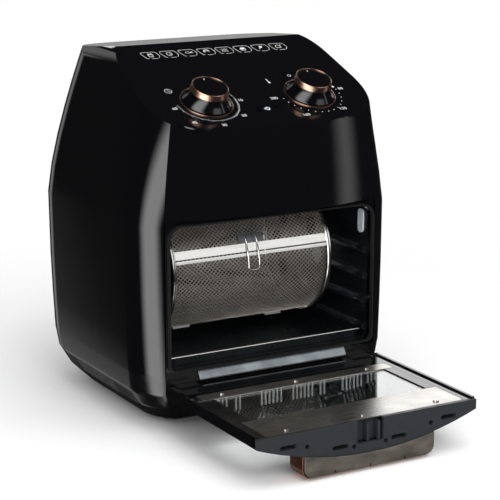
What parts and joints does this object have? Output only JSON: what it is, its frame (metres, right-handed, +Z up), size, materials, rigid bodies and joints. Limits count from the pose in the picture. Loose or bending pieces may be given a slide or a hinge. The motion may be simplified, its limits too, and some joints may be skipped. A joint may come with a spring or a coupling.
{
  "type": "air fryer oven",
  "caption": "Countertop air fryer oven with a bottom-hinged glass door, rotating drum, slide-out drip tray and two dials on a sloping top.",
  "frame": {"origin": "on the table, under the middle of the object's bounding box with its door open", "axes": "+X to the oven's right seen from the front, -Y out of the front where the door lies open, +Z up"},
  "size_m": [0.334, 0.507, 0.4192],
  "materials": {
    "gloss_black": "glossy black moulding",
    "matte_black": "plain black moulding",
    "handle_grey": "mottled dark grey satin",
    "copper_trim": "satin rose gold",
    "rubber": "matt rubber",
    "seal": "dark silicone seal",
    "steel": "brushed steel",
    "liner": "coated steel sheet",
    "screw_steel": "plated steel",
    "motor_metal": "grey metal",
    "cooler_plastic": "pale moulding",
    "door_glass": "smoked glass",
    "clear_glass": "clear glass"
  },
  "bodies": {
    "oven": {"base_tray": "gloss_black", "cavity_liner": "liner", "control_panel": "gloss_black", "cord_gland": "matte_black", "dial_trim_rings": "copper_trim", "drum_bearing": "steel", "drum_motor": "motor_metal", "fan_guard": "steel", "fan_motor": "motor_metal", "feet": "rubber", "front_fascia": "gloss_black", "heat_chamber": "liner", "heater_coil": "steel", "hinge_lugs": "matte_black", "housing_screws": "screw_steel", "lamp_bulb": "clear_glass", "lamp_holder": "matte_black", "lamp_lens": "clear_glass", "lower_housing": "gloss_black", "motor_bracket": "liner", "opening_frame": "gloss_black", "oven_seal": "seal", "rear_panel": "matte_black", "switch_housing": "matte_black", "terminal_block": "matte_black", "thermal_fuse": "motor_metal", "thermostat_body": "liner", "thermostat_bulb": "liner", "threshold_strip": "steel", "timer_body": "matte_black", "top_cap": "gloss_black", "upper_housing": "gloss_black"},
    "door": {"door_shell": "gloss_black", "door_end_cap": "matte_black", "door_catch": "matte_black", "door_inner_plate": "steel", "door_screws": "screw_steel", "door_inner_glass": "clear_glass", "door_outer_glass": "door_glass", "hinge_pins": "screw_steel", "handle_core": "matte_black", "handle_band": "copper_trim", "handle_cover": "handle_grey"},
    "timer_dial": {"timer_knob": "gloss_black", "timer_knob_band": "copper_trim", "timer_spindle": "screw_steel"},
    "temperature_dial": {"temperature_knob": "gloss_black", "temperature_knob_band": "copper_trim", "temperature_spindle": "screw_steel"},
    "mode_switch": {"switch_rocker": "gloss_black"},
    "drum": {"drum_basket": "steel", "drum_left_end": "steel", "drum_right_end": "steel"},
    "drum_lid": {"drum_lid": "steel", "drum_clip": "steel"},
    "drum_drive": {"drive_socket": "steel"},
    "drip_tray": {"drip_tray": "liner"},
    "fan": {"convection_fan": "liner", "fan_shaft": "steel", "cooling_fan": "cooler_plastic"}
  },
  "joints": [
    {"name": "door_hinge", "type": "hinge", "parent": "oven", "child": "door", "pos_m": [0, -0.0585, 0.05], "axis": [1, 0, 0], "range_deg": [-90, 0]},
    {"name": "timer_turn", "type": "hinge", "parent": "oven", "child": "timer_dial", "pos_m": [-0.067, -0.0149, 0.366], "axis": [0, -0.4226, 0.9063], "range_deg": [-265, 0]},
    {"name": "temperature_turn", "type": "hinge", "parent": "oven", "child": "temperature_dial", "pos_m": [0.067, -0.0149, 0.366], "axis": [0, -0.4226, 0.9063], "range_deg": [-265, 0]},
    {"name": "switch_rock", "type": "hinge", "parent": "oven", "child": "mode_switch", "pos_m": [0, -0.03273, 0.35217], "axis": [0, 0.9063, 0.4226], "range_deg": [-8, 8]},
    {"name": "drum_spin", "type": "hinge", "parent": "oven", "child": "drum", "pos_m": [0, 0.0595, 0.168], "axis": [1, 0, 0], "continuous": true},
    {"name": "drum_drive_spin", "type": "hinge", "parent": "oven", "child": "drum_drive", "pos_m": [0, 0.0595, 0.168], "axis": [1, 0, 0], "continuous": true},
    {"name": "drum_lid_hinge", "type": "hinge", "parent": "drum", "child": "drum_lid", "pos_m": [0, 0.05295, 0.09309], "axis": [1, 0, 0], "range_deg": [0, 30]},
    {"name": "tray_slide", "type": "slide", "parent": "oven", "child": "drip_tray", "axis": [0, -1, 0], "range_m": [0, 0.2]},
    {"name": "fan_spin", "type": "hinge", "parent": "oven", "child": "fan", "pos_m": [0, 0.0855, 0.27], "axis": [0, 0, 1], "continuous": true}
  ],
  "couplings": [
    {"joint": "drum_drive_spin", "follows": "drum_spin", "ratio": 1}
  ]
}
